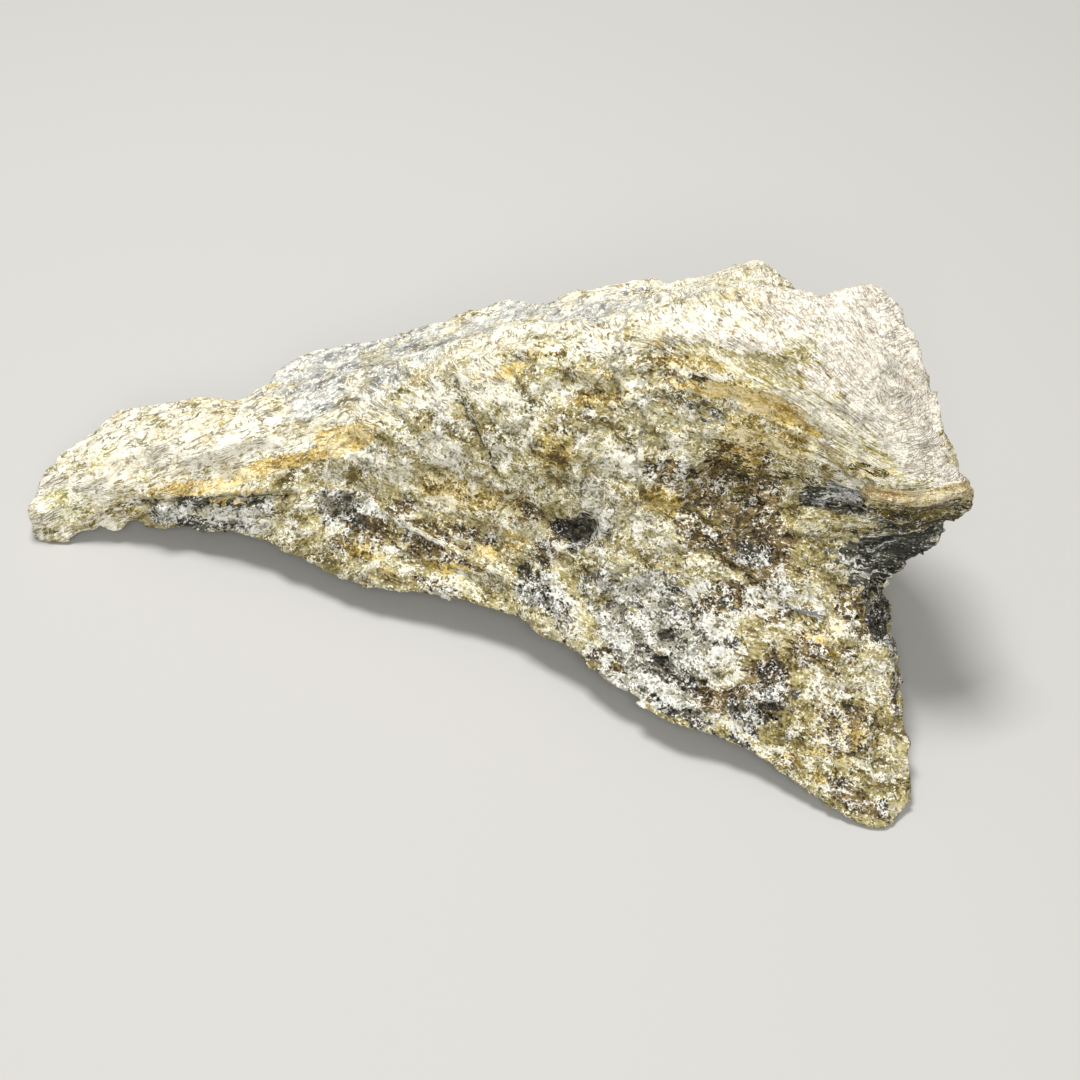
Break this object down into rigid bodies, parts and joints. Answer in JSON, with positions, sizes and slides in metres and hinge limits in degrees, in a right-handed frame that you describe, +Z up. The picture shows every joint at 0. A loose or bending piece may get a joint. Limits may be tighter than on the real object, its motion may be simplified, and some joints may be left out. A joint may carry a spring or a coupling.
{
  "type": "rough labradorite stone",
  "caption": "One rough, unpolished piece of layered feldspar: a long wedge with a thin arm, a short leg and an overhanging beak, resting on a surface.",
  "frame": {"origin": "middle of the stone's bounding box, on the surface that it rests on", "axes": "+X along the stone from the tip of the arm to the beak, +Y away from the front face, +Z up from the surface it rests on"},
  "size_m": [0.1036, 0.0618, 0.0373],
  "materials": {
    "stone": "broken feldspar: olive, cream, amber and dark grey grains with small glassy cleavage faces"
  },
  "bodies": {
    "root": {"labradorite": "stone"}
  },
  "joints": []
}
